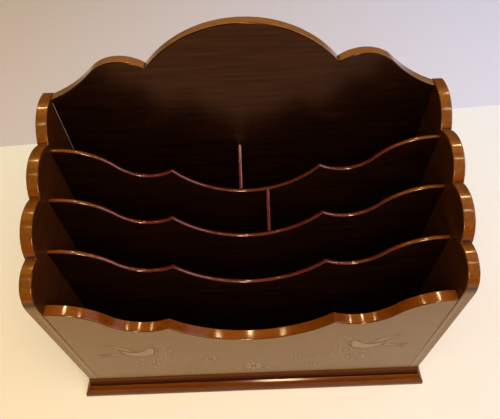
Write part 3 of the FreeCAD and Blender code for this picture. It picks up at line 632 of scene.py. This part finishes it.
# A pale painted highlight for light caught along a corner joint.
painted_glint = inlay_wood("old wax", ALONG_Z, (0.04, 0.034, 0.033), (0.46, 0.41, 0.4), polish=0.0)
line_wood = inlay_wood("saw line", ALONG_X, (0.004, 0.003, 0.002), (0.01, 0.006, 0.004), polish=0.0)


def dress(piece, material, slot, *nodes):
    piece.data.materials.append(material)
    if nodes:
        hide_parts(*nodes)


def repaint(node, material):
    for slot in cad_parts[node].material_slots:
        slot.material = material


# The rack

def build_rack():
    side = side_outline()
    for name, outer in (("left_side", -CARCASE_WIDTH / 2), ("right_side", INNER_HALF)):
        board = plate(f"{name}_board", side, SIDE_THICKNESS, EDGE_ROUND, facing_left(outer))
        dress(board, side_wood, "rosewood", name)
        board.data.materials.append(front_wood)
        for face in board.data.polygons:
            face.material_index = int(face.normal.y < -FACES_FRONT)
    back_face = HALF_DEPTH - WALL_THICKNESS
    back = plate("back_board", back_outline(), WALL_THICKNESS, EDGE_ROUND, facing_front(back_face))
    dress(back, back_wood, "rosewood", "back_panel")
    front = plate(
        "front_board", front_outline(), WALL_THICKNESS - INLAY_PROUD, EDGE_ROUND,
        facing_front(-HALF_DEPTH + INLAY_PROUD), FRONT_WEAR_AND_LIGHT)
    dress(front, front_wood, "rosewood", "front_panel", "front_veneer")
    for tier, name in ((1, "front_divider"), (2, "middle_divider"), (3, "rear_divider")):
        board = plate(
            f"{name}_board", divider_outline(tier), DIVIDER_THICKNESS, THIN_ROUND,
            facing_front(tier_depth(tier) - DIVIDER_THICKNESS / 2), THIN_WEAR_AND_LIGHT)
        dress(board, divider_wood, "divider_wood", name)
    rear_divider_face = tier_depth(3) - DIVIDER_THICKNESS / 2
    for name, tier, stop, x in (
            ("middle_partition", 2, rear_divider_face, MIDDLE_PARTITION_X),
            ("rear_partition", 3, back_face, REAR_PARTITION_X)):
        board = plate(
            f"{name}_board", partition_outline(tier, stop), DIVIDER_THICKNESS, THIN_ROUND,
            facing_left(x - DIVIDER_THICKNESS / 2), THIN_WEAR_AND_LIGHT)
        dress(board, partition_wood, "divider_wood", name)


def build_moulding():
    half_width = CARCASE_WIDTH / 2
    for name, run, wall, turn, material in (
            ("front", CARCASE_WIDTH, HALF_DEPTH, 0, moulding_wood),
            ("right", CARCASE_DEPTH, half_width, 90, end_wood),
            ("rear", CARCASE_WIDTH, HALF_DEPTH, 180, moulding_wood),
            ("left", CARCASE_DEPTH, half_width, 270, end_wood)):
        length = moulding(f"{name}_moulding_length", run, wall, turn)
        dress(length, material, "moulding_wood", f"{name}_moulding")


def dress_inlay():
    sides = ("left", "right")
    woods = {
        boxwood: ("bird_body",),
        satinwood: ("bird_wing", "bird_tail", "branch"),
        stained_wood: ("leaves", "stringing"),
    }
    for wood, kinds in woods.items():
        for kind in kinds:
            for side in sides:
                repaint(f"{side}_{kind}", wood)
    repaint("blossom_petals", holly)
    repaint("blossom_leaves", stained_wood)
    repaint("blossom_eyes", satinwood)
    birds = [f"{side}_bird_{piece}" for side in sides for piece in ("body", "wing", "tail")]
    dress(inlay_lines("bird_saw_lines", birds, BIRD_LINE), line_wood, "rosewood")
    flowers = [f"{side}_leaves" for side in sides] + ["blossom_petals", "blossom_leaves"]
    dress(inlay_lines("flower_saw_lines", flowers, FLOWER_LINE), line_wood, "rosewood")


build_rack()
build_moulding()
repaint("floor_board", floor_wood)
# A painted highlight line in the left rear corner, where side and back meet.
dress(corner_glint("corner_glint", -INNER_HALF, GLINT_WIDTH), painted_glint, "rosewood")
dress_inlay()


# Stage, light and camera, in metres

CREAM = ((0.97, 0.8, 0.5), (0.84, 0.82, 0.82))
PALE_CREAM = ((1, 0.94, 0.74), (0.9, 0.94, 1))
GREY = ((0.73, 0.63, 0.55), (0.76, 0.8, 1))
ROOM_TONE = (1, 0.74, 0.4)
ROOM_LIGHT = 0.12
RACK_MIDDLE = Vector((0, 0, 0.12))
CAMERA_PLACE = Vector((0.0016, -0.1959, 0.4115))
CAMERA_PITCH = math.radians(51.42)
CAMERA_ROLL = math.radians(2.10)
CAMERA_YAW = math.radians(0.07)
LENS = 31.81
SENSOR_WIDTH = 36


def quad(name, corners, material):
    mesh = bpy.data.meshes.new(name)
    mesh.from_pydata([Vector(corner) for corner in corners], [], [range(len(corners))])
    piece = bpy.data.objects.new(name, mesh)
    bpy.context.scene.collection.objects.link(piece)
    mesh.materials.append(material)


def lamp(name, place, power, size, colour, mirrored=True, spread=True):
    """A lamp that points at the rack; it shows in the polish, lights what is matt, or both."""
    light = bpy.data.lights.new(name, "AREA")
    light.energy = power
    light.shape = "RECTANGLE"
    light.size, light.size_y = size
    light.color = colour
    piece = bpy.data.objects.new(name, light)
    piece.location = place
    piece.rotation_mode = "QUATERNION"
    piece.rotation_quaternion = (RACK_MIDDLE - Vector(place)).to_track_quat("-Z", "Y")
    piece.visible_glossy = mirrored
    piece.visible_diffuse = spread
    bpy.context.scene.collection.objects.link(piece)


def build_stage():
    """A cream floor, and behind a slanting line a cooler one."""
    reach, left, right = 6, -0.138, 0.702
    cream = stage_surface("cream floor", CREAM, PALE_CREAM)
    grey = stage_surface("grey floor", GREY, GREY)
    quad("floor", [(-reach, -reach, 0), (reach, -reach, 0), (reach, right, 0), (-reach, left, 0)], cream)
    quad("backdrop", [(-reach, left, 0), (reach, right, 0), (reach, reach, 0), (-reach, reach, 0)], grey)


def build_light():
    """Soft light on the room, and lamps that only the polish mirrors."""
    soft, bulb, low_bulb = (1, 0.91, 0.8), (1, 0.7, 0.35), (1, 0.75, 0.5)
    ceiling, front = (1, 0.45, 0.06), (1, 0.7, 0.4)
    window, pane, rear_pane = (0.74, 0.68, 1), (0.85, 0.76, 1), (1, 0.8, 0.7)
    world = bpy.data.worlds.new("studio")
    world.use_nodes = True
    background = world.node_tree.nodes["Background"]
    background.inputs["Color"].default_value = (*ROOM_TONE, 1)
    background.inputs["Strength"].default_value = ROOM_LIGHT
    bpy.context.scene.world = world
    lamp("soft_overhead", (0.2, -1.0, 1.7), 60, (2.4, 2.0), soft, mirrored=False)
    lamp("window", (1.15, 0.61, 0.87), 3.5, (1.3, 1.2), window, mirrored=False)
    lamp("window_pane", (1.2, -0.2, 0.9), 15, (0.6, 1.0), pane, spread=False)
    lamp("rear_window", (1.05, 0.5, 0.78), 1.3, (0.5, 0.75), rear_pane, spread=False)
    lamp("ceiling_glow", (0, 0.5, 1.6), 10, (2.2, 1.0), ceiling, spread=False)
    lamp("front_glow", (0.42, -1.3, 1.15), 2.5, (0.6, 0.3), front, spread=False)
    lamp("low_bulb", (0.1, -1.3, 0.9), 16, (0.16, 0.45), low_bulb, spread=False)
    for side, x, power in (("left", -0.765, 1.2), ("middle", 0.035, 3.5), ("right", 0.83, 1.6)):
        lamp(f"{side}_rear_bulb", (x, 0.6, 1.5), power, (0.06, 0.12), bulb, spread=False)
        lamp(f"{side}_front_bulb", (x, -0.45, 1.6), power / 2, (0.1, 0.12), bulb, spread=False)


def build_camera():
    """The photograph's own view, solved from the rack's square edges."""
    level = Vector((math.sin(CAMERA_YAW), math.cos(CAMERA_YAW), 0))
    ahead = level * math.cos(CAMERA_PITCH) - Vector((0, 0, math.sin(CAMERA_PITCH)))
    right = Vector((level.y, -level.x, 0))
    down = ahead.cross(right)
    across = math.cos(CAMERA_ROLL) * right + math.sin(CAMERA_ROLL) * down
    up = math.sin(CAMERA_ROLL) * right - math.cos(CAMERA_ROLL) * down
    camera = bpy.data.cameras.new("camera")
    camera.sensor_width = SENSOR_WIDTH
    camera.lens = LENS
    camera.clip_start = 0.01
    piece = bpy.data.objects.new("camera", camera)
    turn = Matrix((across, up, -ahead)).transposed()
    piece.matrix_world = Matrix.Translation(CAMERA_PLACE) @ turn.to_4x4()
    bpy.context.scene.collection.objects.link(piece)
    bpy.context.scene.camera = piece


build_stage()
build_light()
build_camera()
bpy.context.scene.view_settings.view_transform = "Standard"
